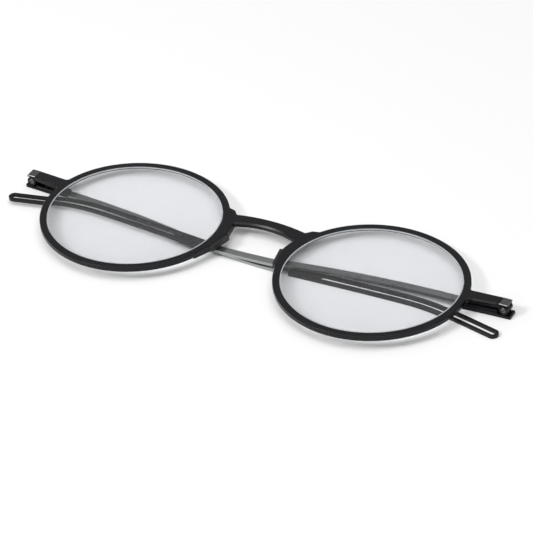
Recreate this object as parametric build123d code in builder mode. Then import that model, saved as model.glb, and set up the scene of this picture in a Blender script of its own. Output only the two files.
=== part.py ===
from build123d import *
import os
from math import cos, pi, sin, sqrt

# Folding reading glasses, lying folded with the front face up.
# Millimetres. X runs along the front, +Y towards the brow, +Z out of the front face.
# The origin is under the middle of the bridge, on the surface that the glasses lie on.
# Right and left are the wearer's: the right hinge is at -X, the left one at +X.

# ---- Driving dimensions ----

# Rims: a near-round outline, a little wider towards the brow
lens_spacing = 67.0  # between the two lens centres
rim_half_width = 24.4
rim_half_height = 22.9
brow_flare = 0.02  # how much wider the upper half of a rim is
rim_face = 1.8  # width of the rim, seen from the front
front_thickness = 1.2
edge_round = 0.22
end_piece_round = 1.0
bridge_round = 0.5
lower_bevel = 0.34
bury = 0.9  # how far bridge and lugs run into the rim
end_piece_bury = 2.1  # how far an end piece runs into the rim
end_piece_brow_taper = 0.7  # how far its brow side closes in, from the hinge to the rim
end_piece_cheek_taper = 1.5  # how far its cheek side spreads, from the hinge to the rim
bevel_from_rim = 1.3  # where the bevel of an end piece starts
bevel_from_cap = 0.6  # and where it ends

# Lenses, both faces of one radius
lens_radius = 400.0  # of each curved face
lens_proud = 0.3  # how far the middle stands out of the front face
lens_centre_thickness = 1.85
lens_edge_thickness = 0.5  # of the flange that sits in the groove
groove_depth = 0.45
groove_front_lip = 0.38
lens_step = 0.3  # between the rim's inner wall and the curved part of the lens
lens_play = 0.03

# Bridge and nose
bridge_width = 3.0
bridge_crown = 8.75  # height of the bridge's lower edge at the middle
bridge_foot_half_span = 9.3
bridge_lower_drop = 2.0  # how far the lower edge falls from the middle to a foot
bridge_upper_drop = 1.15
shoulder_height = 12.3
shoulder_half_span = 11.0
shoulder_rise = 0.4  # of the shoulder's outer end, above its height
shoulder_fall = 0.3  # of its inner end, below that height
bridge_foot_flare = 0.4  # how much wider the upper edge reaches than the lower one
lug_top_inset = 0.5  # of the lug's highest corner, from the bridge's foot
nose_half_gap_top = 7.1
nose_half_gap_foot = 8.5
nose_top = 2.5
nose_foot = -4.3
lug_tail = 4.2  # how far a lug runs on below the pad, into the rim
lug_tail_bury = 0.3
pad_thickness = 0.75
pad_inset = 0.12  # the pad's faces stand back from those of the lug
pad_round = 0.18
pad_top_splay = 0.25  # how much longer the pad's outer face is than its inner one, at the top
pad_foot_splay = 0.5
pad_rib_length = 3.6
pad_rib_depth = 0.5
pad_rib_height = 0.6
pad_fit = 0.02

# Hinges: axis along Y
hinge_half_span = 66.9
hinge_height = 5.3  # above the lens centre line
hinge_width = 2.9
knuckle_radius = 1.2
cap_thickness = 0.5
cap_overhang = 1.1  # outside the hinge axis
cap_bevel = 0.1
cap_gap = 0.1  # between the cap and the temple's knuckle
knuckle_clearance = 0.1  # between the knuckles and the lower blade
knuckle_gap = 0.1  # radial, round the temple's knuckle
temple_knuckle_width = 0.96
washer_thickness = 0.12
washer_play = 0.02
washer_radius = 1.1
tongue_length = 6.5
tongue_thickness = 0.6
tongue_margin = 0.45  # of plastic, on each side of the tongue
tongue_root = 0.9  # how near the axis the tongue starts, inside the web
assembly_fit = 0.02  # between pieces that are pushed together
screw_radius = 0.5
screw_clearance = 0.03
screw_head_radius = 0.78
screw_head_height = 0.35
screw_slot_width = 0.24
screw_slot_depth = 0.16
screw_slot_angle = 35
screw_head_recess = 0.02
screw_head_bevel = 0.08

# Temples: two flat blades that pass one above the other when folded
blade_thickness = 0.8
blade_gap = 0.3  # between the two folded blades
nose_clearance = 0.2  # between the upper blade and the nose lugs
butt_overhang = 1.8  # outside the hinge axis
arm_half_width = 1.0
arm_slope = 0.105  # how the blade falls away from the brow, per millimetre
arm_straight_end = 12.0
arm_end = 12.0  # beyond the middle
arm_end_height = -1.6
tip_crest = 43.0
tip_crest_height = -0.2
tip_bend = 59.0
tip_bend_height = -1.35
tip_reach = 69.0
tip_half_width = 1.45
slot_half_width = 0.68
slot_start = 20.5
tang_length = 4.5
tang_half_width = 0.55
tang_thickness = 0.36
tang_fit = 0.02
leaf_length = 11.5
leaf_root_half_width = 1.3
leaf_end_half_width = 1.05
leaf_overlap = 0.1  # between the plates and the web of a leaf
leaf_clearance = 0.4  # between the knuckles and the inner parts of a temple
leaf_thickness = 0.6
web_length = 3.0

# Rivets
rivet_radius = 0.35
rivet_head_radius = 0.6
rivet_head_height = 0.18
rivet_fit = 0.02
front_rivet_places = (3.3, 6.1)  # from the hinge axis, inwards
temple_rivet_places = (4.6, 9.2)
rivet_end_cover = 0.06
rivet_depth_share = 0.55  # of the plastic over the tongue

# ---- Heights, from the surface up ----

lower_blade_top = blade_thickness
upper_blade_bottom = lower_blade_top + blade_gap
upper_blade_top = upper_blade_bottom + blade_thickness
front_face = lower_blade_top + knuckle_clearance + 2 * knuckle_radius + cap_gap + cap_thickness
nose_back = upper_blade_top + nose_clearance
nose_depth = front_face - nose_back  # thickness of the nose lugs, front to back
front_back = front_face - front_thickness
cap_back = front_face - cap_thickness
hinge_z = cap_back - cap_gap - knuckle_radius
tongue_bottom = front_back
tongue_top = tongue_bottom + tongue_thickness
groove_top = front_face - groove_front_lip
groove_bottom = groove_top - lens_edge_thickness - 2 * lens_play
hinge_near = hinge_height - hinge_width / 2
hinge_far = hinge_height + hinge_width / 2
middle_gap = temple_knuckle_width + 2 * washer_thickness + 4 * washer_play
outer_knuckle_width = (hinge_width - middle_gap) / 2
cap_inner = hinge_half_span - knuckle_radius  # inner edge of the cap
rim_outer = lens_spacing / 2 + rim_half_width
end_piece_end = cap_inner - assembly_fit
leaf_start = knuckle_radius + leaf_clearance  # inner parts of a temple begin here
# The right blade is the lower one, with its leaf on top; the left blade is the upper
# one, with its leaf underneath.
blade_levels = {-1: (0, lower_blade_top), 1: (upper_blade_bottom, upper_blade_top)}
leaf_levels = {-1: (lower_blade_top, lower_blade_top + leaf_thickness), 1: (0, upper_blade_bottom)}
web_bottom = {-1: lower_blade_top, 1: lower_blade_top - leaf_overlap}

SIDES = (("right", -1), ("left", 1))
RIM_POINTS = 32
CUT_MARGIN = 1.0  # how far a cut runs past what it cuts
TRIM_SIZE = 10.0  # plan of a block that cuts off the end of a blade


def write(solid, name):
    """Label a finished piece and write it."""
    solid.label = name
    export_step(solid, f"parts/{name}.step")


def rim_curve(inset):
    """Points of the rim's outline, moved inwards by inset."""
    half_width = rim_half_width - inset
    half_height = rim_half_height - inset
    points = []
    for i in range(RIM_POINTS):
        angle = 2 * pi * i / RIM_POINTS
        flare = 1 + brow_flare * sin(angle)
        points.append((half_width * cos(angle) * flare, half_height * sin(angle)))
    return points


def rim_disc(side, height, inset):
    """A sketch of the whole outline of one eye, at a height."""
    centre = Plane((side * lens_spacing / 2, 0, height))
    with BuildSketch(centre) as disc:
        with BuildLine():
            Spline(*rim_curve(inset), periodic=True)
        make_face()
    return disc.sketch


def rim_edge_x(y):
    """Distance from the middle of the front to a rim's inner side, at a height y."""
    share = y / rim_half_height
    reach = rim_half_width * (1 + brow_flare * share) * sqrt(1 - share**2)
    return lens_spacing / 2 - reach


def arm_height(from_axis):
    """Y of a blade's centre line, at a distance inwards from the hinge axis."""
    return hinge_height - arm_slope * from_axis


def beside_axis(side, inwards, y):
    """A point in plan, given from the hinge axis inwards."""
    return (side * (hinge_half_span - inwards), y)


def is_upright(edge):
    """Whether an edge runs along Z, whatever curve it is stored as."""
    run = (edge @ 1) - (edge @ 0)
    return abs(run.X) < 0.001 and abs(run.Y) < 0.001 and abs(run.Z) > 0.1


# ---- Front frame ----

nose_side = Vector(nose_half_gap_foot - nose_half_gap_top, nose_foot - nose_top)
pad_run = nose_side.normalized()
pad_out = Vector(-pad_run.Y, pad_run.X)  # from the pad into the lug
pad_middle = Vector((nose_half_gap_top + nose_half_gap_foot) / 2, (nose_top + nose_foot) / 2)


def beside_nose(side, along, inwards):
    """A point in plan, along the nose side from its middle and into the lug."""
    place = pad_middle + pad_run * along + pad_out * inwards
    return (side * place.X, place.Y)


pad_half_length = nose_side.length / 2
lug_start = pad_thickness + pad_fit

with BuildPart() as front:
    for name, side in SIDES:
        with BuildSketch(Plane.XY.offset(front_back)):
            add(rim_disc(side, 0, 0))
        extrude(amount=front_thickness)

        # End piece, from the rim out to the hinge
        root = rim_outer - end_piece_bury
        with BuildSketch(Plane.XY.offset(front_back)):
            with BuildLine():
                Polyline(
                    (side * end_piece_end, hinge_near),
                    (side * end_piece_end, hinge_far),
                    (side * root, hinge_far - end_piece_brow_taper),
                    (side * root, hinge_near - end_piece_cheek_taper),
                    close=True,
                )
            make_face()
        extrude(amount=front_thickness)

        # Nose lug, deeper than the rim, with a flat side for the pad
        with BuildSketch(Plane.XY.offset(nose_back)):
            with BuildLine():
                Polyline(
                    (side * (bridge_foot_half_span - lug_top_inset), bridge_crown - bridge_lower_drop / 2),
                    beside_nose(side, -pad_half_length, lug_start),
                    beside_nose(side, pad_half_length, lug_start),
                    (side * (rim_edge_x(nose_foot - lug_tail) + lug_tail_bury), nose_foot - lug_tail),
                    (side * (rim_edge_x(nose_foot) + bury), nose_foot),
                    (side * (rim_edge_x(nose_top) + bury), nose_top),
                    (side * (rim_edge_x(bridge_crown) + bury), bridge_crown),
                    close=True,
                )
            make_face()
        extrude(amount=nose_depth)

    # Bridge: an arch between the rims, with a small shoulder at each end of its upper side
    upper_foot = bridge_crown + bridge_width - bridge_upper_drop
    with BuildSketch(Plane.XY.offset(front_back)):
        with BuildLine():
            ThreePointArc(
                (-bridge_foot_half_span, bridge_crown - bridge_lower_drop),
                (0, bridge_crown),
                (bridge_foot_half_span, bridge_crown - bridge_lower_drop),
            )
            Polyline(
                (bridge_foot_half_span, bridge_crown - bridge_lower_drop),
                (rim_edge_x(bridge_crown) + bury, bridge_crown - bridge_lower_drop),
                (rim_edge_x(shoulder_height) + bury, shoulder_height + shoulder_rise),
                (shoulder_half_span, shoulder_height - shoulder_fall),
                (bridge_foot_half_span + bridge_foot_flare, upper_foot),
            )
            ThreePointArc(
                (bridge_foot_half_span + bridge_foot_flare, upper_foot),
                (0, bridge_crown + bridge_width),
                (-bridge_foot_half_span - bridge_foot_flare, upper_foot),
            )
            Polyline(
                (-bridge_foot_half_span - bridge_foot_flare, upper_foot),
                (-shoulder_half_span, shoulder_height - shoulder_fall),
                (-rim_edge_x(shoulder_height) - bury, shoulder_height + shoulder_rise),
                (-rim_edge_x(bridge_crown) - bury, bridge_crown - bridge_lower_drop),
                (-bridge_foot_half_span, bridge_crown - bridge_lower_drop),
            )
        make_face()
    extrude(amount=front_thickness)

    # Lens openings
    for name, side in SIDES:
        with BuildSketch(Plane.XY.offset(nose_back - CUT_MARGIN)):
            add(rim_disc(side, 0, rim_face))
        extrude(amount=nose_depth + 2 * CUT_MARGIN, mode=Mode.SUBTRACT)

    # Soft corners in plan
    corners = front.edges().filter_by(is_upright)
    from_x = rim_outer - 2 * end_piece_bury
    at_hinges = [e for e in corners if from_x < abs(e.center().X) < cap_inner - end_piece_round]
    fillet([e for e in at_hinges if e.center().Y > 0], radius=end_piece_round)
    corners = front.edges().filter_by(is_upright)
    over_bridge = [e for e in corners if e.center().Y > bridge_crown]
    at_bridge = [e for e in over_bridge if abs(e.center().X) < shoulder_half_span + bridge_width]
    fillet([e for e in at_bridge if e.length > nose_depth - front_thickness + edge_round / 2], radius=bridge_round)

    # A flat bevel along the bridge's lower edge, and a small round on every other front edge
    under_bridge = front.edges().group_by(Axis.Z)[-1].filter_by(GeomType.CIRCLE).sort_by(Axis.Y)[0]
    chamfer(under_bridge, length=lower_bevel)
    front_edges = front.edges().group_by(Axis.Z)[-1]
    above_bevel = front_edges.filter_by(GeomType.CIRCLE).sort_by(Axis.Y)[0]
    fillet([e for e in front_edges if e != above_bevel], radius=edge_round)

    # The same bevel along the lower edge of each end piece
    for name, side in SIDES:
        end_slope = end_piece_cheek_taper / (end_piece_end - (rim_outer - end_piece_bury))
        bevel_start_x = rim_outer + bevel_from_rim
        bevel_end_x = cap_inner - bevel_from_cap
        start_y = hinge_near - end_slope * (end_piece_end - bevel_start_x)
        end_y = hinge_near - end_slope * (end_piece_end - bevel_end_x)
        bevel_start = Vector(side * bevel_start_x, start_y, front_face)
        bevel_run = Vector(side * bevel_end_x, end_y, front_face) - bevel_start
        with BuildSketch(Plane(bevel_start, x_dir=(0, 0, 1), z_dir=bevel_run)):
            Rectangle(lower_bevel * sqrt(2), lower_bevel * sqrt(2), rotation=45)
        extrude(amount=bevel_run.length, mode=Mode.SUBTRACT)

    # Lens grooves, and the pockets for the hinges and the pads
    for name, side in SIDES:
        with BuildSketch(Plane.XY.offset(groove_bottom)):
            add(rim_disc(side, 0, rim_face - groove_depth))
        extrude(amount=groove_top - groove_bottom, mode=Mode.SUBTRACT)

        # Pocket for the tongue of the front hinge, open at the back
        tongue_half_width = hinge_width / 2 - tongue_margin + assembly_fit
        tongue_end = cap_inner - tongue_length - assembly_fit
        with BuildSketch(Plane.XY.offset(tongue_bottom)):
            with Locations((side * (cap_inner + tongue_end) / 2, hinge_height)):
                Rectangle(cap_inner - tongue_end, 2 * tongue_half_width)
        extrude(amount=tongue_thickness + assembly_fit, mode=Mode.SUBTRACT)

        # Blind holes for the rivets
        rivet_reach = tongue_top + (front_face - tongue_top) * rivet_depth_share
        with BuildSketch(Plane.XY.offset(tongue_bottom)):
            with Locations([beside_axis(side, d, hinge_height) for d in front_rivet_places]):
                Circle(rivet_radius + rivet_fit)
        extrude(amount=rivet_reach + rivet_fit - tongue_bottom, mode=Mode.SUBTRACT)

        # Slot for the rib of the nose pad
        pad_mid_z = (nose_back + front_face) / 2
        half_rib = pad_rib_length / 2 + pad_fit
        with BuildSketch(Plane.XY.offset(pad_mid_z - pad_rib_height / 2 - pad_fit)):
            with BuildLine():
                Polyline(
                    beside_nose(side, -half_rib, 0),
                    beside_nose(side, half_rib, 0),
                    beside_nose(side, half_rib, lug_start + pad_rib_depth + pad_fit),
                    beside_nose(side, -half_rib, lug_start + pad_rib_depth + pad_fit),
                    close=True,
                )
            make_face()
        extrude(amount=pad_rib_height + 2 * pad_fit, mode=Mode.SUBTRACT)


# ---- Lenses ----

def make_lens(side):
    """One lens: a disc with two faces of one radius, and a flat flange for the groove."""
    centre_x = side * lens_spacing / 2
    apex = front_face + lens_proud
    with BuildPart() as lens:
        with BuildSketch(Plane.XY.offset(apex - lens_centre_thickness)):
            add(rim_disc(side, 0, rim_face + lens_step))
        extrude(amount=lens_centre_thickness)
        with Locations((centre_x, 0, apex - lens_radius)):
            Sphere(lens_radius, mode=Mode.INTERSECT)
        with Locations((centre_x, 0, apex - lens_centre_thickness + lens_radius)):
            Sphere(lens_radius, mode=Mode.INTERSECT)
        with BuildSketch(Plane.XY.offset(groove_bottom + lens_play)):
            add(rim_disc(side, 0, rim_face - groove_depth + lens_play))
        extrude(amount=lens_edge_thickness)
    return lens.part


# ---- Nose pads ----

def make_nose_pad(side):
    """A soft strip on the nose side of a lug, held by a rib in the lug's slot."""
    with BuildPart() as pad:
        with BuildSketch(Plane.XY.offset(nose_back + pad_inset)):
            with BuildLine():
                Polyline(
                    beside_nose(side, -pad_half_length + pad_top_splay, 0),
                    beside_nose(side, pad_half_length - pad_foot_splay, 0),
                    beside_nose(side, pad_half_length - pad_inset, pad_thickness),
                    beside_nose(side, -pad_half_length + pad_inset, pad_thickness),
                    close=True,
                )
            make_face()
        extrude(amount=nose_depth - 2 * pad_inset)
        nose_face = pad.faces().sort_by(Axis.X)[0 if side > 0 else -1]
        fillet(nose_face.edges(), radius=pad_round)
        with BuildSketch(Plane.XY.offset(pad_mid_z - pad_rib_height / 2)):
            with BuildLine():
                Polyline(
                    beside_nose(side, -pad_rib_length / 2, pad_thickness / 2),
                    beside_nose(side, pad_rib_length / 2, pad_thickness / 2),
                    beside_nose(side, pad_rib_length / 2, lug_start + pad_rib_depth),
                    beside_nose(side, -pad_rib_length / 2, lug_start + pad_rib_depth),
                    close=True,
                )
            make_face()
        extrude(amount=pad_rib_height)
    return pad.part


# ---- Hinges ----

def hinge_plane(side):
    """The plane through the hinge axis: local X is outwards along X, local Y is up."""
    return Plane((side * hinge_half_span, hinge_height, hinge_z), x_dir=(1, 0, 0), z_dir=(0, -1, 0))


def across(low, high):
    """Centre and length of a stretch."""
    return ((low + high) / 2, high - low)


def make_front_hinge(side):
    """Front leaf: a cap, two knuckles under it, and a tongue let into the end piece."""
    with BuildPart() as leaf:
        with BuildSketch(hinge_plane(side)):
            Circle(knuckle_radius)
            web_x, web_w = across(-knuckle_radius, 0)
            web_z, web_h = across(0, cap_back - hinge_z)
            with Locations((side * web_x, web_z)):
                Rectangle(web_w, web_h)
            cap_x, cap_w = across(-knuckle_radius, cap_overhang)
            cap_z, cap_h = across(cap_back - hinge_z, front_face - hinge_z)
            with Locations((side * cap_x, cap_z)):
                Rectangle(cap_w, cap_h)
        extrude(amount=hinge_width / 2, both=True)
        with BuildSketch(Plane.XY.offset(tongue_bottom)):
            tongue_x, tongue_w = across(cap_inner - tongue_length, hinge_half_span - tongue_root)
            with Locations((side * tongue_x, hinge_height)):
                Rectangle(tongue_w, hinge_width - 2 * tongue_margin)
        extrude(amount=tongue_thickness)
        with BuildSketch(hinge_plane(side)):
            Circle(knuckle_radius + knuckle_gap)
        extrude(amount=middle_gap / 2, both=True, mode=Mode.SUBTRACT)
        with BuildSketch(hinge_plane(side)):
            Circle(screw_radius + screw_clearance)
        extrude(amount=hinge_width, both=True, mode=Mode.SUBTRACT)
        with BuildSketch(hinge_plane(side).offset(hinge_width / 2 - screw_head_height - screw_clearance)):
            Circle(screw_head_radius + screw_clearance)
        extrude(amount=screw_head_height + CUT_MARGIN, mode=Mode.SUBTRACT)
        with BuildSketch(Plane.XY.offset(tongue_bottom)):
            with Locations([beside_axis(side, d, hinge_height) for d in front_rivet_places]):
                Circle(rivet_radius + rivet_fit)
        extrude(amount=tongue_thickness, mode=Mode.SUBTRACT)
        cap_edges = leaf.faces().sort_by(Axis.Z)[-1].edges()
        chamfer(cap_edges, length=cap_bevel)
    return leaf.part


def make_screw(side):
    """Hinge screw along Y, its slotted head towards the cheek."""
    with BuildPart() as screw:
        with BuildSketch(hinge_plane(side).offset(-hinge_width / 2 + screw_clearance)):
            Circle(screw_radius)
        extrude(amount=hinge_width - screw_clearance - screw_head_recess)
        with BuildSketch(hinge_plane(side).offset(hinge_width / 2 - screw_head_recess - screw_head_height)):
            Circle(screw_head_radius)
        extrude(amount=screw_head_height)
        chamfer(screw.faces().sort_by(Axis.Y)[0].edges(), length=screw_head_bevel)
        with BuildSketch(hinge_plane(side).offset(hinge_width / 2 - screw_head_recess - screw_slot_depth)):
            Rectangle(3 * screw_head_radius, screw_slot_width, rotation=screw_slot_angle)
        extrude(amount=screw_slot_depth + CUT_MARGIN, mode=Mode.SUBTRACT)
    return screw.part


def make_washers(side):
    """Two thin friction washers, one on each side of the temple's knuckle."""
    first = temple_knuckle_width / 2 + washer_play
    with BuildPart() as washers:
        for start in (first, -first - washer_thickness):
            with BuildSketch(hinge_plane(side).offset(start)):
                Circle(washer_radius)
                Circle(screw_radius + screw_clearance, mode=Mode.SUBTRACT)
            extrude(amount=washer_thickness)
    return washers.part


def leaf_plan(side, start, end, taper=True):
    """Plan of a temple leaf between two distances inwards from the hinge axis."""
    share = (end - start) / leaf_length if taper else 0
    start_half = hinge_width / 2 if start < leaf_start else leaf_root_half_width
    end_half = start_half + (leaf_end_half_width - start_half) * share
    with BuildSketch() as plan:
        with BuildLine():
            Polyline(
                beside_axis(side, start, arm_height(max(start, 0)) - start_half),
                beside_axis(side, start, arm_height(max(start, 0)) + start_half),
                beside_axis(side, end, arm_height(end) + end_half),
                beside_axis(side, end, arm_height(end) - end_half),
                close=True,
            )
        make_face()
    return plan.sketch


def make_temple_hinge(side):
    """Temple leaf: one knuckle on a web, and a plate riveted to the blade."""
    with BuildPart() as leaf:
        with BuildSketch(hinge_plane(side)):
            Circle(knuckle_radius)
            reach = web_length if side < 0 else leaf_start - leaf_overlap / 2
            web_x, web_w = across(-reach, 0)
            web_z, web_h = across(web_bottom[side] - hinge_z, -leaf_overlap)
            with Locations((side * web_x, web_z)):
                Rectangle(web_w, web_h)
        extrude(amount=temple_knuckle_width / 2, both=True)
        low, high = leaf_levels[side]
        with BuildSketch(Plane.XY.offset(low)):
            add(leaf_plan(side, leaf_start - leaf_overlap, leaf_length))
        extrude(amount=high - low)
        if side > 0:
            with BuildSketch():
                add(leaf_plan(side, -butt_overhang, leaf_start + 2 * leaf_overlap, taper=False))
            extrude(amount=blade_thickness)
        with BuildSketch(hinge_plane(side)):
            Circle(screw_radius + screw_clearance)
        extrude(amount=hinge_width, both=True, mode=Mode.SUBTRACT)
        with BuildSketch(Plane.XY.offset(-CUT_MARGIN)):
            with Locations([beside_axis(side, d, arm_height(d)) for d in temple_rivet_places]):
                Circle(rivet_radius + rivet_fit)
        extrude(amount=front_face, mode=Mode.SUBTRACT)
    return leaf.part


# ---- Temples ----

def temple_line(side):
    """The centre line of a blade in plan, as edges from the hinge to the tip."""
    straight_start = Vector(side * hinge_half_span, hinge_height)
    straight_end = Vector(side * arm_straight_end, arm_height(hinge_half_span - arm_straight_end))
    first = Line(straight_start, straight_end)
    joint = (-side * arm_end, arm_end_height)
    second = TangentArc(straight_end, joint, tangent=first % 1)
    crest = (-side * tip_crest, tip_crest_height)
    third = TangentArc(joint, crest, tangent=second % 1)
    bend = (-side * tip_bend, tip_bend_height)
    fourth = TangentArc(crest, bend, tangent=third % 1)
    run = tip_reach - tip_half_width - tip_bend
    last_tangent = fourth % 1
    last = Line(fourth @ 1, (fourth @ 1) + last_tangent * (run / abs(last_tangent.X)))
    return [first, second], [third, fourth, last]


def ribbon(edges, half_width):
    """The plan of a strip along some edges, with rounded ends."""
    outline = Wire(edges).offset_2d(half_width, kind=Kind.ARC, side=Side.BOTH, closed=True)
    return Face(outline)


def slab(face, low, high):
    """A face in plan, as a solid between two heights."""
    return extrude(Pos(0, 0, low) * face, amount=high - low, dir=(0, 0, 1))


def make_arm(side):
    """Front half of a temple: a flat blade, wider at the hinge, with a tang at its end."""
    low, high = blade_levels[side]
    arm_edges = temple_line(side)[0]
    end = arm_edges[1] @ 1
    end_tangent = arm_edges[1] % 1
    past_end = Plane(origin=(end.X, end.Y, low), x_dir=end_tangent, z_dir=(0, 0, 1))
    blade = slab(ribbon(arm_edges, arm_half_width), low, high)
    trim = past_end * Pos(TRIM_SIZE / 2, 0, 0) * Box(TRIM_SIZE, TRIM_SIZE, front_face)
    root = butt_overhang if side < 0 else -leaf_start - assembly_fit
    hinge_trim_x = side * (hinge_half_span + root + TRIM_SIZE / 2)
    hinge_trim = Pos(hinge_trim_x, hinge_height, low) * Box(TRIM_SIZE, TRIM_SIZE, front_face)
    middle = (low + high) / 2
    tang_box = Box(tang_length + 2 * CUT_MARGIN, 2 * tang_half_width, tang_thickness)
    tang = past_end * Pos(tang_length / 2 - CUT_MARGIN, 0, middle - low) * tang_box
    with BuildPart() as arm:
        add(blade)
        with BuildSketch(Plane.XY.offset(low)):
            add(leaf_plan(side, -root, leaf_length))
        extrude(amount=high - low)
        add(hinge_trim, mode=Mode.SUBTRACT)
        add(trim, mode=Mode.SUBTRACT)
        add(tang)
        with BuildSketch(Plane.XY.offset(low)):
            with Locations([beside_axis(side, d, arm_height(d)) for d in temple_rivet_places]):
                Circle(rivet_radius + rivet_fit)
        extrude(amount=high - low, mode=Mode.SUBTRACT)
    return arm.part


def make_tip(side):
    """Rear half of a temple: a slotted ear piece, bent down at its end."""
    low, high = blade_levels[side]
    tip_edges = temple_line(side)[1]
    start = tip_edges[0] @ 0
    start_tangent = tip_edges[0] % 0
    at_start = Plane(origin=(start.X, start.Y, low), x_dir=start_tangent, z_dir=(0, 0, 1))
    body = slab(ribbon(tip_edges, tip_half_width), low, high)
    trim = at_start * Pos(assembly_fit - TRIM_SIZE / 2, 0, 0) * Box(TRIM_SIZE, TRIM_SIZE, front_face)
    cut_from = (slot_start - arm_end + slot_half_width) / (tip_crest - arm_end)
    slot_edges = [tip_edges[0].trim(cut_from, 1), tip_edges[1], tip_edges[2]]
    slot = slab(ribbon(slot_edges, slot_half_width), low - CUT_MARGIN, high + CUT_MARGIN)
    middle = (low + high) / 2
    socket_length = tang_length + CUT_MARGIN + 2 * tang_fit
    socket_box = Box(socket_length, 2 * (tang_half_width + tang_fit), tang_thickness + 2 * tang_fit)
    socket = at_start * Pos((tang_length - CUT_MARGIN) / 2, 0, middle - low) * socket_box
    shoulder = tip_half_width - arm_half_width
    with BuildPart() as tip:
        add(body)
        add(trim, mode=Mode.SUBTRACT)
        root_edges = tip.edges().filter_by(Axis.Z).sort_by(Axis.X)
        root_corners = root_edges[-2:] if side > 0 else root_edges[:2]
        chamfer(root_corners, length=shoulder, length2=3 * shoulder)
        add(slot, mode=Mode.SUBTRACT)
        add(socket, mode=Mode.SUBTRACT)
    return tip.part


# ---- Rivets ----

def make_rivets(side, places, heights, line):
    """Rivets along a line in plan: heights are the shank's ends, and where the head lies."""
    shank_low, shank_high, head_low = heights
    with BuildPart() as rivets:
        for place in places:
            centre = beside_axis(side, place, line(place))
            with BuildSketch(Plane.XY.offset(shank_low)):
                with Locations(centre):
                    Circle(rivet_radius)
            extrude(amount=shank_high - shank_low)
            with BuildSketch(Plane.XY.offset(head_low)):
                with Locations(centre):
                    Circle(rivet_head_radius)
            extrude(amount=rivet_head_height)
    return rivets.part


# ---- Build and write ----

os.makedirs("parts", exist_ok=True)
write(front.part, "front_frame")
for name, side in SIDES:
    write(make_lens(side), f"lens_{name}")
    write(make_nose_pad(side), f"nose_pad_{name}")
    write(make_front_hinge(side), f"front_hinge_{name}")
    write(make_temple_hinge(side), f"temple_hinge_{name}")
    write(make_screw(side), f"hinge_screw_{name}")
    write(make_washers(side), f"hinge_washers_{name}")
    write(make_arm(side), f"temple_arm_{name}")
    write(make_tip(side), f"temple_tip_{name}")
    head_under = front_back - rivet_head_height
    front_heights = (head_under, rivet_reach, head_under)
    write(make_rivets(side, front_rivet_places, front_heights, lambda d: hinge_height), f"front_rivets_{name}")
    stack_top = max(blade_levels[side][1], leaf_levels[side][1])
    temple_heights = (rivet_end_cover, stack_top + rivet_head_height, stack_top)
    write(make_rivets(side, temple_rivet_places, temple_heights, arm_height), f"temple_rivets_{name}")
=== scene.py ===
from math import radians

import bpy
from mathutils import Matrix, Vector


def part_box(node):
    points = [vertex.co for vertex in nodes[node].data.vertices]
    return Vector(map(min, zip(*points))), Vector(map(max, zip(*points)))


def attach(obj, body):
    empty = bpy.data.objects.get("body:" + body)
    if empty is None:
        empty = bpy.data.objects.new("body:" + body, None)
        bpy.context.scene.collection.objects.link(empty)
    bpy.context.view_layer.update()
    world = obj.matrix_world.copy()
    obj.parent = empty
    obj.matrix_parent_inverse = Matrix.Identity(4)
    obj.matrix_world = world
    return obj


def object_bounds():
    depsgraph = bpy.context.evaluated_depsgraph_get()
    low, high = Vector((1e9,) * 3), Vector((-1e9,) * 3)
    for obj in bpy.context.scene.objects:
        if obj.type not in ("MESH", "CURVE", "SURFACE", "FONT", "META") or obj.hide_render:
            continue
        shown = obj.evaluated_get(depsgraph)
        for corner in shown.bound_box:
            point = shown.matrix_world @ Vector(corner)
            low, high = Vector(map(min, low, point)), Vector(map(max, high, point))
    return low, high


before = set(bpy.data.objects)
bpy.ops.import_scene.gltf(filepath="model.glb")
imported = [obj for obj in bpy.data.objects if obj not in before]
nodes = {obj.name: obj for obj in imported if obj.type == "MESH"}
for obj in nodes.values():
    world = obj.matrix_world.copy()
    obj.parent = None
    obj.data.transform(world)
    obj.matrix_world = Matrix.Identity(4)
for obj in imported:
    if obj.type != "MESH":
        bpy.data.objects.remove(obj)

# Folding reading glasses, lying folded with the front face up.
# Metres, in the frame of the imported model: +X to the wearer's left, +Y to the brow.

cad_low, cad_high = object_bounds()
SIDES = ("right", "left")
mm = 0.001


# ---- Camera ----

camera_data = bpy.data.cameras.new("camera")
camera_data.sensor_width = 36.0
camera_data.lens = 197.406
camera_data.clip_start = 0.01
camera_data.clip_end = 20.0
camera = bpy.data.objects.new("camera", camera_data)
camera.location = (0.31095, -0.49879, 0.41849)
camera.rotation_euler = (radians(54.3064), radians(3.38054), radians(29.1543))
bpy.context.scene.collection.objects.link(camera)
bpy.context.scene.camera = camera


# ---- Small helpers for shader trees ----

def group_socket(group, name, in_out, kind, default=None):
    socket = group.interface.new_socket(name=name, in_out=in_out, socket_type=kind)
    if default is not None:
        socket.default_value = default
    return socket


def new_group(name, inputs, outputs):
    """A shader node group with named inputs and outputs: (name, kind, default)."""
    group = bpy.data.node_groups.new(name, "ShaderNodeTree")
    for label, kind, default in inputs:
        group_socket(group, label, "INPUT", kind, default)
    for label, kind in outputs:
        group_socket(group, label, "OUTPUT", kind)
    start = group.nodes.new("NodeGroupInput")
    end = group.nodes.new("NodeGroupOutput")
    return group, start, end


def node(tree, kind, **settings):
    made = tree.nodes.new(kind)
    for key, value in settings.items():
        setattr(made, key, value)
    return made


def place(tree, group, **values):
    """Put a shared effect in a material, with its own values."""
    made = tree.nodes.new("ShaderNodeGroup")
    made.node_tree = group
    for key, value in values.items():
        made.inputs[key.replace("_", " ")].default_value = value
    return made


# ---- Shared effects ----

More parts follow.
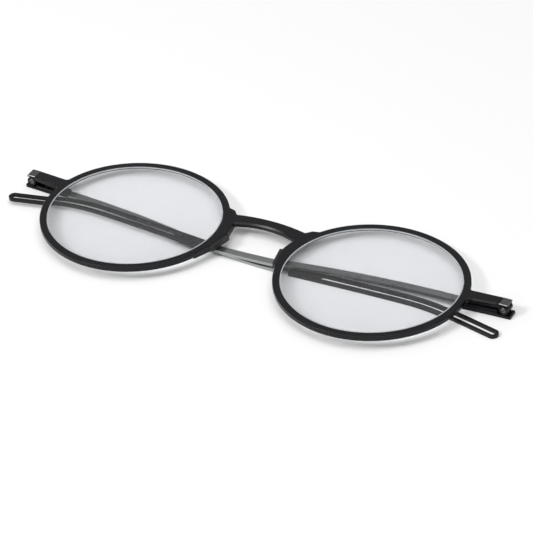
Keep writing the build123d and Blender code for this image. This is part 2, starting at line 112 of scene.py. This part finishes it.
# Moulded grain: fine pebbling of a matt plastic surface, with slight shine patches
grain, start, end = new_group(
    "moulded_grain",
    [
        ("Vector", "NodeSocketVector", None),
        ("Grain per metre", "NodeSocketFloat", 9000.0),
        ("Depth", "NodeSocketFloat", 0.2),
        ("Colour", "NodeSocketColor", (0.02, 0.02, 0.022, 1.0)),
        ("Rubbed colour", "NodeSocketColor", (0.04, 0.04, 0.042, 1.0)),
        ("Low roughness", "NodeSocketFloat", 0.4),
        ("High roughness", "NodeSocketFloat", 0.5),
    ],
    [("Color", "NodeSocketColor"), ("Roughness", "NodeSocketFloat"), ("Normal", "NodeSocketVector")],
)
pebbles = node(grain, "ShaderNodeTexVoronoi", feature="SMOOTH_F1")
pebbles.inputs["Smoothness"].default_value = 0.6
mottle = node(grain, "ShaderNodeTexNoise")
mottle.inputs["Scale"].default_value = 260.0
mottle.inputs["Detail"].default_value = 4.0
bump = node(grain, "ShaderNodeBump")
bump.inputs["Distance"].default_value = 0.00002
blend_colour = node(grain, "ShaderNodeMix", data_type="RGBA")
spread = node(grain, "ShaderNodeMapRange")
spread.inputs["From Min"].default_value = 0.35
spread.inputs["From Max"].default_value = 0.65
grain.links.new(start.outputs["Vector"], pebbles.inputs["Vector"])
grain.links.new(start.outputs["Grain per metre"], pebbles.inputs["Scale"])
grain.links.new(start.outputs["Vector"], mottle.inputs["Vector"])
grain.links.new(pebbles.outputs["Distance"], bump.inputs["Height"])
grain.links.new(start.outputs["Depth"], bump.inputs["Strength"])
grain.links.new(mottle.outputs["Fac"], spread.inputs["Value"])
grain.links.new(start.outputs["Low roughness"], spread.inputs["To Min"])
grain.links.new(start.outputs["High roughness"], spread.inputs["To Max"])
grain.links.new(mottle.outputs["Fac"], blend_colour.inputs["Factor"])
grain.links.new(start.outputs["Colour"], blend_colour.inputs["A"])
grain.links.new(start.outputs["Rubbed colour"], blend_colour.inputs["B"])
grain.links.new(blend_colour.outputs["Result"], end.inputs["Color"])
grain.links.new(spread.outputs["Result"], end.inputs["Roughness"])
grain.links.new(bump.outputs["Normal"], end.inputs["Normal"])

# Brushed metal: hairlines along one direction, some patches duller than others
brushed, start, end = new_group(
    "brushed_lines",
    [
        ("Vector", "NodeSocketVector", None),
        ("Lines per metre", "NodeSocketFloat", 12000.0),
        ("Depth", "NodeSocketFloat", 0.15),
        ("Colour", "NodeSocketColor", (0.4, 0.4, 0.41, 1.0)),
        ("Dull colour", "NodeSocketColor", (0.3, 0.3, 0.31, 1.0)),
        ("Low roughness", "NodeSocketFloat", 0.25),
        ("High roughness", "NodeSocketFloat", 0.4),
    ],
    [("Color", "NodeSocketColor"), ("Roughness", "NodeSocketFloat"), ("Normal", "NodeSocketVector")],
)
stretch = node(brushed, "ShaderNodeMapping")
stretch.inputs["Scale"].default_value = (0.03, 1.0, 1.0)
lines = node(brushed, "ShaderNodeTexNoise")
lines.inputs["Detail"].default_value = 3.0
lines.inputs["Roughness"].default_value = 0.6
patches = node(brushed, "ShaderNodeTexNoise")
patches.inputs["Scale"].default_value = 180.0
patches.inputs["Detail"].default_value = 3.0
line_bump = node(brushed, "ShaderNodeBump")
line_bump.inputs["Distance"].default_value = 0.00001
line_colour = node(brushed, "ShaderNodeMix", data_type="RGBA")
line_spread = node(brushed, "ShaderNodeMapRange")
line_spread.inputs["From Min"].default_value = 0.35
line_spread.inputs["From Max"].default_value = 0.65
both = node(brushed, "ShaderNodeMath", operation="MULTIPLY_ADD")
both.inputs[1].default_value = 0.5
halved = node(brushed, "ShaderNodeMath", operation="MULTIPLY")
halved.inputs[1].default_value = 0.5
brushed.links.new(start.outputs["Vector"], stretch.inputs["Vector"])
brushed.links.new(stretch.outputs["Vector"], lines.inputs["Vector"])
brushed.links.new(start.outputs["Lines per metre"], lines.inputs["Scale"])
brushed.links.new(start.outputs["Vector"], patches.inputs["Vector"])
brushed.links.new(patches.outputs["Fac"], halved.inputs[0])
brushed.links.new(lines.outputs["Fac"], both.inputs[0])
brushed.links.new(halved.outputs["Value"], both.inputs[2])
brushed.links.new(lines.outputs["Fac"], line_bump.inputs["Height"])
brushed.links.new(start.outputs["Depth"], line_bump.inputs["Strength"])
brushed.links.new(both.outputs["Value"], line_spread.inputs["Value"])
brushed.links.new(start.outputs["Low roughness"], line_spread.inputs["To Min"])
brushed.links.new(start.outputs["High roughness"], line_spread.inputs["To Max"])
brushed.links.new(both.outputs["Value"], line_colour.inputs["Factor"])
brushed.links.new(start.outputs["Colour"], line_colour.inputs["A"])
brushed.links.new(start.outputs["Dull colour"], line_colour.inputs["B"])
brushed.links.new(line_colour.outputs["Result"], end.inputs["Color"])
brushed.links.new(line_spread.outputs["Result"], end.inputs["Roughness"])
brushed.links.new(line_bump.outputs["Normal"], end.inputs["Normal"])


# ---- Materials ----

def surface(name, effect, metallic=0.0, **values):
    """A material whose colour, roughness and normal come from one shared effect."""
    material = bpy.data.materials.new(name)
    material.use_nodes = True
    tree = material.node_tree
    shader = tree.nodes["Principled BSDF"]
    shader.inputs["Metallic"].default_value = metallic
    place_on = node(tree, "ShaderNodeTexCoord")
    made = place(tree, effect, **values)
    tree.links.new(place_on.outputs["Object"], made.inputs["Vector"])
    tree.links.new(made.outputs["Color"], shader.inputs["Base Color"])
    tree.links.new(made.outputs["Roughness"], shader.inputs["Roughness"])
    tree.links.new(made.outputs["Normal"], shader.inputs["Normal"])
    return material


front_black = surface(
    "front_black", grain, Grain_per_metre=9000.0, Depth=0.25,
    Colour=(0.0035, 0.0037, 0.0045, 1.0), Rubbed_colour=(0.007, 0.0075, 0.009, 1.0),
    Low_roughness=0.22, High_roughness=0.32,
)
front_black.node_tree.nodes["Principled BSDF"].inputs["Specular IOR Level"].default_value = 0.24
tip_black = surface(
    "tip_black", grain, Grain_per_metre=7000.0, Depth=0.2,
    Colour=(0.0035, 0.0037, 0.0045, 1.0), Rubbed_colour=(0.007, 0.0075, 0.009, 1.0),
    Low_roughness=0.22, High_roughness=0.34,
)
tip_black.node_tree.nodes["Principled BSDF"].inputs["Specular IOR Level"].default_value = 0.26
pad_black = surface(
    "pad_black", grain, Grain_per_metre=5000.0, Depth=0.2,
    Colour=(0.005, 0.005, 0.006, 1.0), Rubbed_colour=(0.009, 0.009, 0.01, 1.0),
    Low_roughness=0.45, High_roughness=0.6,
)
arm_satin = surface(
    "arm_satin", brushed, metallic=1.0, Lines_per_metre=14000.0, Depth=0.2,
    Colour=(0.43, 0.44, 0.435, 1.0), Dull_colour=(0.31, 0.32, 0.32, 1.0),
    Low_roughness=0.24, High_roughness=0.38,
)
# Painted shade: the root of each arm, in shadow under the end piece, is painted near-black, as dark as the
# hinge leaf on it
shaded_root_from = 54.8 * mm  # outwards from the middle of the front
shaded_root_to = 55.4 * mm
root_shade_colour = (0.018, 0.018, 0.02, 1.0)
root_place = node(arm_satin.node_tree, "ShaderNodeSeparateXYZ")
from_middle = node(arm_satin.node_tree, "ShaderNodeMath", operation="ABSOLUTE")
root_shade_mask = node(arm_satin.node_tree, "ShaderNodeMapRange", interpolation_type="SMOOTHSTEP")
root_shade_mask.inputs["From Min"].default_value = shaded_root_from
root_shade_mask.inputs["From Max"].default_value = shaded_root_to
root_shade_mix = node(arm_satin.node_tree, "ShaderNodeMix", data_type="RGBA")
# Near-black painted shade colour for the arm root
root_shade_mix.inputs["B"].default_value = root_shade_colour
arm_shader = arm_satin.node_tree.nodes["Principled BSDF"]
arm_links = arm_satin.node_tree.links
arm_links.new(arm_satin.node_tree.nodes["Texture Coordinate"].outputs["Object"], root_place.inputs["Vector"])
arm_links.new(root_place.outputs["X"], from_middle.inputs[0])
arm_links.new(from_middle.outputs["Value"], root_shade_mask.inputs["Value"])
arm_links.new(root_shade_mask.outputs["Result"], root_shade_mix.inputs["Factor"])
arm_links.new(arm_satin.node_tree.nodes["Group"].outputs["Color"], root_shade_mix.inputs["A"])
arm_links.new(root_shade_mix.outputs["Result"], arm_shader.inputs["Base Color"])
hinge_black = surface(
    "hinge_black", brushed, metallic=1.0, Lines_per_metre=9000.0, Depth=0.25,
    Colour=(0.035, 0.035, 0.038, 1.0), Dull_colour=(0.018, 0.018, 0.02, 1.0),
    Low_roughness=0.25, High_roughness=0.42,
)
hinge_gunmetal = surface(
    "hinge_gunmetal", brushed, metallic=1.0, Lines_per_metre=9000.0, Depth=0.25,
    Colour=(0.2, 0.2, 0.21, 1.0), Dull_colour=(0.13, 0.13, 0.135, 1.0),
    Low_roughness=0.25, High_roughness=0.42,
)
# Painted light and shade: only the top of the cap keeps its gunmetal colour, as lit from above; the rest of
# the leaf is painted near-black as shade
lit_down_to = 0.45 * mm  # below the highest point of the lenses
shaded_down_from = 0.55 * mm  # below the same point
cap_tree = hinge_gunmetal.node_tree
cap_place = node(cap_tree, "ShaderNodeSeparateXYZ")
cap_lit_mask = node(cap_tree, "ShaderNodeMapRange", interpolation_type="SMOOTHSTEP")
cap_lit_mask.inputs["From Min"].default_value = cad_high.z - shaded_down_from
cap_lit_mask.inputs["From Max"].default_value = cad_high.z - lit_down_to
cap_shade_mix = node(cap_tree, "ShaderNodeMix", data_type="RGBA")
# Near-black painted shade colour for the leaf below the lit top
cap_shade_mix.inputs["A"].default_value = (0.02, 0.02, 0.022, 1.0)
cap_tree.links.new(cap_tree.nodes["Texture Coordinate"].outputs["Object"], cap_place.inputs["Vector"])
cap_tree.links.new(cap_place.outputs["Z"], cap_lit_mask.inputs["Value"])
cap_tree.links.new(cap_lit_mask.outputs["Result"], cap_shade_mix.inputs["Factor"])
cap_tree.links.new(cap_tree.nodes["Group"].outputs["Color"], cap_shade_mix.inputs["B"])
cap_tree.links.new(cap_shade_mix.outputs["Result"], cap_tree.nodes["Principled BSDF"].inputs["Base Color"])
screw_dark = surface(
    "screw_dark", brushed, metallic=1.0, Lines_per_metre=16000.0, Depth=0.15,
    Colour=(0.14, 0.14, 0.145, 1.0), Dull_colour=(0.09, 0.09, 0.095, 1.0),
    Low_roughness=0.18, High_roughness=0.3,
)

lens_clear = bpy.data.materials.new("lens_clear")
lens_clear.use_nodes = True
lens_tree = lens_clear.node_tree
lens_shader = lens_tree.nodes["Principled BSDF"]
lens_shader.inputs["Metallic"].default_value = 0.0
lens_shader.inputs["Transmission Weight"].default_value = 1.0
lens_shader.inputs["IOR"].default_value = 1.5
lens_shader.inputs["Base Color"].default_value = (0.675, 0.68, 0.69, 1.0)
smear_place = node(lens_tree, "ShaderNodeTexCoord")
smear = node(lens_tree, "ShaderNodeTexNoise")
smear.inputs["Scale"].default_value = 140.0
smear.inputs["Detail"].default_value = 2.0
smear_rough = node(lens_tree, "ShaderNodeMapRange")
smear_rough.inputs["From Min"].default_value = 0.45
smear_rough.inputs["From Max"].default_value = 0.75
smear_rough.inputs["To Min"].default_value = 0.0
smear_rough.inputs["To Max"].default_value = 0.012
lens_tree.links.new(smear_place.outputs["Object"], smear.inputs["Vector"])
lens_tree.links.new(smear.outputs["Fac"], smear_rough.inputs["Value"])
lens_tree.links.new(smear_rough.outputs["Result"], lens_shader.inputs["Roughness"])
light_path = node(lens_tree, "ShaderNodeLightPath")
see_through = node(lens_tree, "ShaderNodeBsdfTransparent")
see_through.inputs["Color"].default_value = (0.93, 0.94, 0.95, 1.0)
mix_shadow = node(lens_tree, "ShaderNodeMixShader")
lens_out = lens_tree.nodes["Material Output"]
lens_tree.links.new(light_path.outputs["Is Shadow Ray"], mix_shadow.inputs["Fac"])
lens_tree.links.new(lens_shader.outputs["BSDF"], mix_shadow.inputs[1])
lens_tree.links.new(see_through.outputs["BSDF"], mix_shadow.inputs[2])
lens_tree.links.new(mix_shadow.outputs["Shader"], lens_out.inputs["Surface"])


def finish_node(name, material):
    """Give a carried-over CAD node its material."""
    mesh = nodes[name].data
    mesh.materials.clear()
    mesh.materials.append(material)


finish_node("front_frame", front_black)
for side in SIDES:
    finish_node(f"lens_{side}", lens_clear)
    finish_node(f"nose_pad_{side}", pad_black)
    finish_node(f"front_hinge_{side}", hinge_gunmetal)
    finish_node(f"temple_hinge_{side}", hinge_black)
    finish_node(f"hinge_screw_{side}", screw_dark)
    finish_node(f"hinge_washers_{side}", screw_dark)
    finish_node(f"front_rivets_{side}", screw_dark)
    finish_node(f"temple_rivets_{side}", screw_dark)
    finish_node(f"temple_arm_{side}", arm_satin)
    finish_node(f"temple_tip_{side}", tip_black)


# ---- Painted highlight ring of each lens: a pale opaque ring between the rim and the curved faces, standing for the bright glint along the lens edge ----

facing_forwards = 0.99999  # least Z of the normal of a flat front face
same_height = 0.01 * mm
same_place = 0.001 * mm
glint_ring_lift = 0.33 * mm
glint_ring_thickness = 0.24 * mm
glint_ring_draw_in = (0.9785, 0.9775, 1.0)
lens_stretch = 1.145  # a lens's width over its height, squared


def keep_flange_face(piece):
    """Leave only the flat face of the flange that looks forwards."""
    bpy.ops.object.mode_set(mode="EDIT")
    bpy.ops.mesh.select_mode(type="FACE")
    bpy.ops.mesh.select_all(action="SELECT")
    bpy.ops.mesh.remove_doubles(threshold=same_place)
    bpy.ops.mesh.select_all(action="DESELECT")
    bpy.ops.object.mode_set(mode="OBJECT")
    flat = [face for face in piece.data.polygons if face.normal.z > facing_forwards]
    flange_height = min(face.center.z for face in flat)
    for face in piece.data.polygons:
        low_enough = face.center.z < flange_height + same_height
        on_flange = face.normal.z > facing_forwards and low_enough
        face.select = not on_flange
    bpy.ops.object.mode_set(mode="EDIT")
    bpy.ops.mesh.delete(type="FACE")
    bpy.ops.object.mode_set(mode="OBJECT")


def narrow_to_glint_ring(piece, centre):
    """Draw the ring's outer loop in to clear the rim, and raise the ring to the front."""
    bpy.ops.object.mode_set(mode="EDIT")
    bpy.ops.mesh.select_mode(type="VERT")
    bpy.ops.mesh.select_all(action="DESELECT")
    bpy.ops.object.mode_set(mode="OBJECT")
    vertices = piece.data.vertices
    reach = [(vertex.co.x - centre.x) ** 2 / lens_stretch + vertex.co.y ** 2 for vertex in vertices]
    middle = (min(reach) + max(reach)) / 2
    for vertex, distance in zip(vertices, reach):
        vertex.select = distance > middle
    bpy.ops.object.mode_set(mode="EDIT")
    bpy.ops.transform.resize(value=glint_ring_draw_in, center_override=centre)
    bpy.ops.mesh.select_all(action="SELECT")
    bpy.ops.transform.translate(value=(0, 0, glint_ring_lift))
    bpy.ops.object.mode_set(mode="OBJECT")


# Painted highlight: a pale opaque colour standing for the glint along each lens edge
glint_ring_pale = surface(
    "glint_ring_pale", grain, Grain_per_metre=12000.0, Depth=0.3,
    Colour=(0.5, 0.52, 0.54, 1.0), Rubbed_colour=(0.36, 0.38, 0.4, 1.0),
    Low_roughness=0.15, High_roughness=0.3,
)
for side in SIDES:
    bpy.ops.object.select_all(action="DESELECT")
    edge = nodes[f"lens_{side}"].copy()
    edge.data = edge.data.copy()
    edge.name = f"lens_glint_ring_{side}"
    for key in list(edge.keys()):
        del edge[key]
    edge.parent = None
    bpy.context.scene.collection.objects.link(edge)
    edge.select_set(True)
    bpy.context.view_layer.objects.active = edge
    keep_flange_face(edge)
    lens_low, lens_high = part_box(f"lens_{side}")
    narrow_to_glint_ring(edge, Vector(((lens_low.x + lens_high.x) / 2, 0, lens_high.z)))
    thicken = edge.modifiers.new("thicken", "SOLIDIFY")
    thicken.thickness = glint_ring_thickness
    thicken.offset = -1.0
    bpy.ops.object.modifier_apply(modifier="thicken")
    edge.data.materials.clear()
    edge.data.materials.append(glint_ring_pale)
    bpy.ops.object.shade_smooth_by_angle(angle=radians(40))
    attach(edge, "front")


# ---- Floor and studio light ----

bpy.ops.object.select_all(action="DESELECT")
bpy.ops.mesh.primitive_plane_add(size=6.0, location=(0, 0, 0))
floor = bpy.context.object
floor.name = "floor"
floor_pale = bpy.data.materials.new("floor_pale")
floor_pale.use_nodes = True
floor_shader = floor_pale.node_tree.nodes["Principled BSDF"]
floor_shader.inputs["Base Color"].default_value = (0.86, 0.86, 0.86, 1.0)
floor_shader.inputs["Roughness"].default_value = 0.7
floor.data.materials.append(floor_pale)

world = bpy.data.worlds.new("studio")
bpy.context.scene.world = world
world.use_nodes = True
world.node_tree.nodes["Background"].inputs["Color"].default_value = (1.0, 1.0, 1.0, 1.0)
world.node_tree.nodes["Background"].inputs["Strength"].default_value = 0.43


def softbox(name, location, aim, width, height, power):
    """A rectangular studio light, turned towards a point."""
    data = bpy.data.lights.new(name, "AREA")
    data.shape = "RECTANGLE"
    data.size = width
    data.size_y = height
    data.energy = power
    box = bpy.data.objects.new(name, data)
    box.location = location
    box.rotation_euler = (Vector(aim) - Vector(location)).to_track_quat("-Z", "Y").to_euler()
    bpy.context.scene.collection.objects.link(box)


softbox("overhead", (0.15, -0.3, 1.5), (0, 0, 0), 1.6, 1.6, 17.0)
softbox("low_front", (-0.39, -0.52, 0.62), (0, 0, 0), 0.24, 0.18, 3.0)

bpy.context.scene.view_settings.view_transform = "Standard"


# ---- Finish ----

bpy.context.view_layer.update()
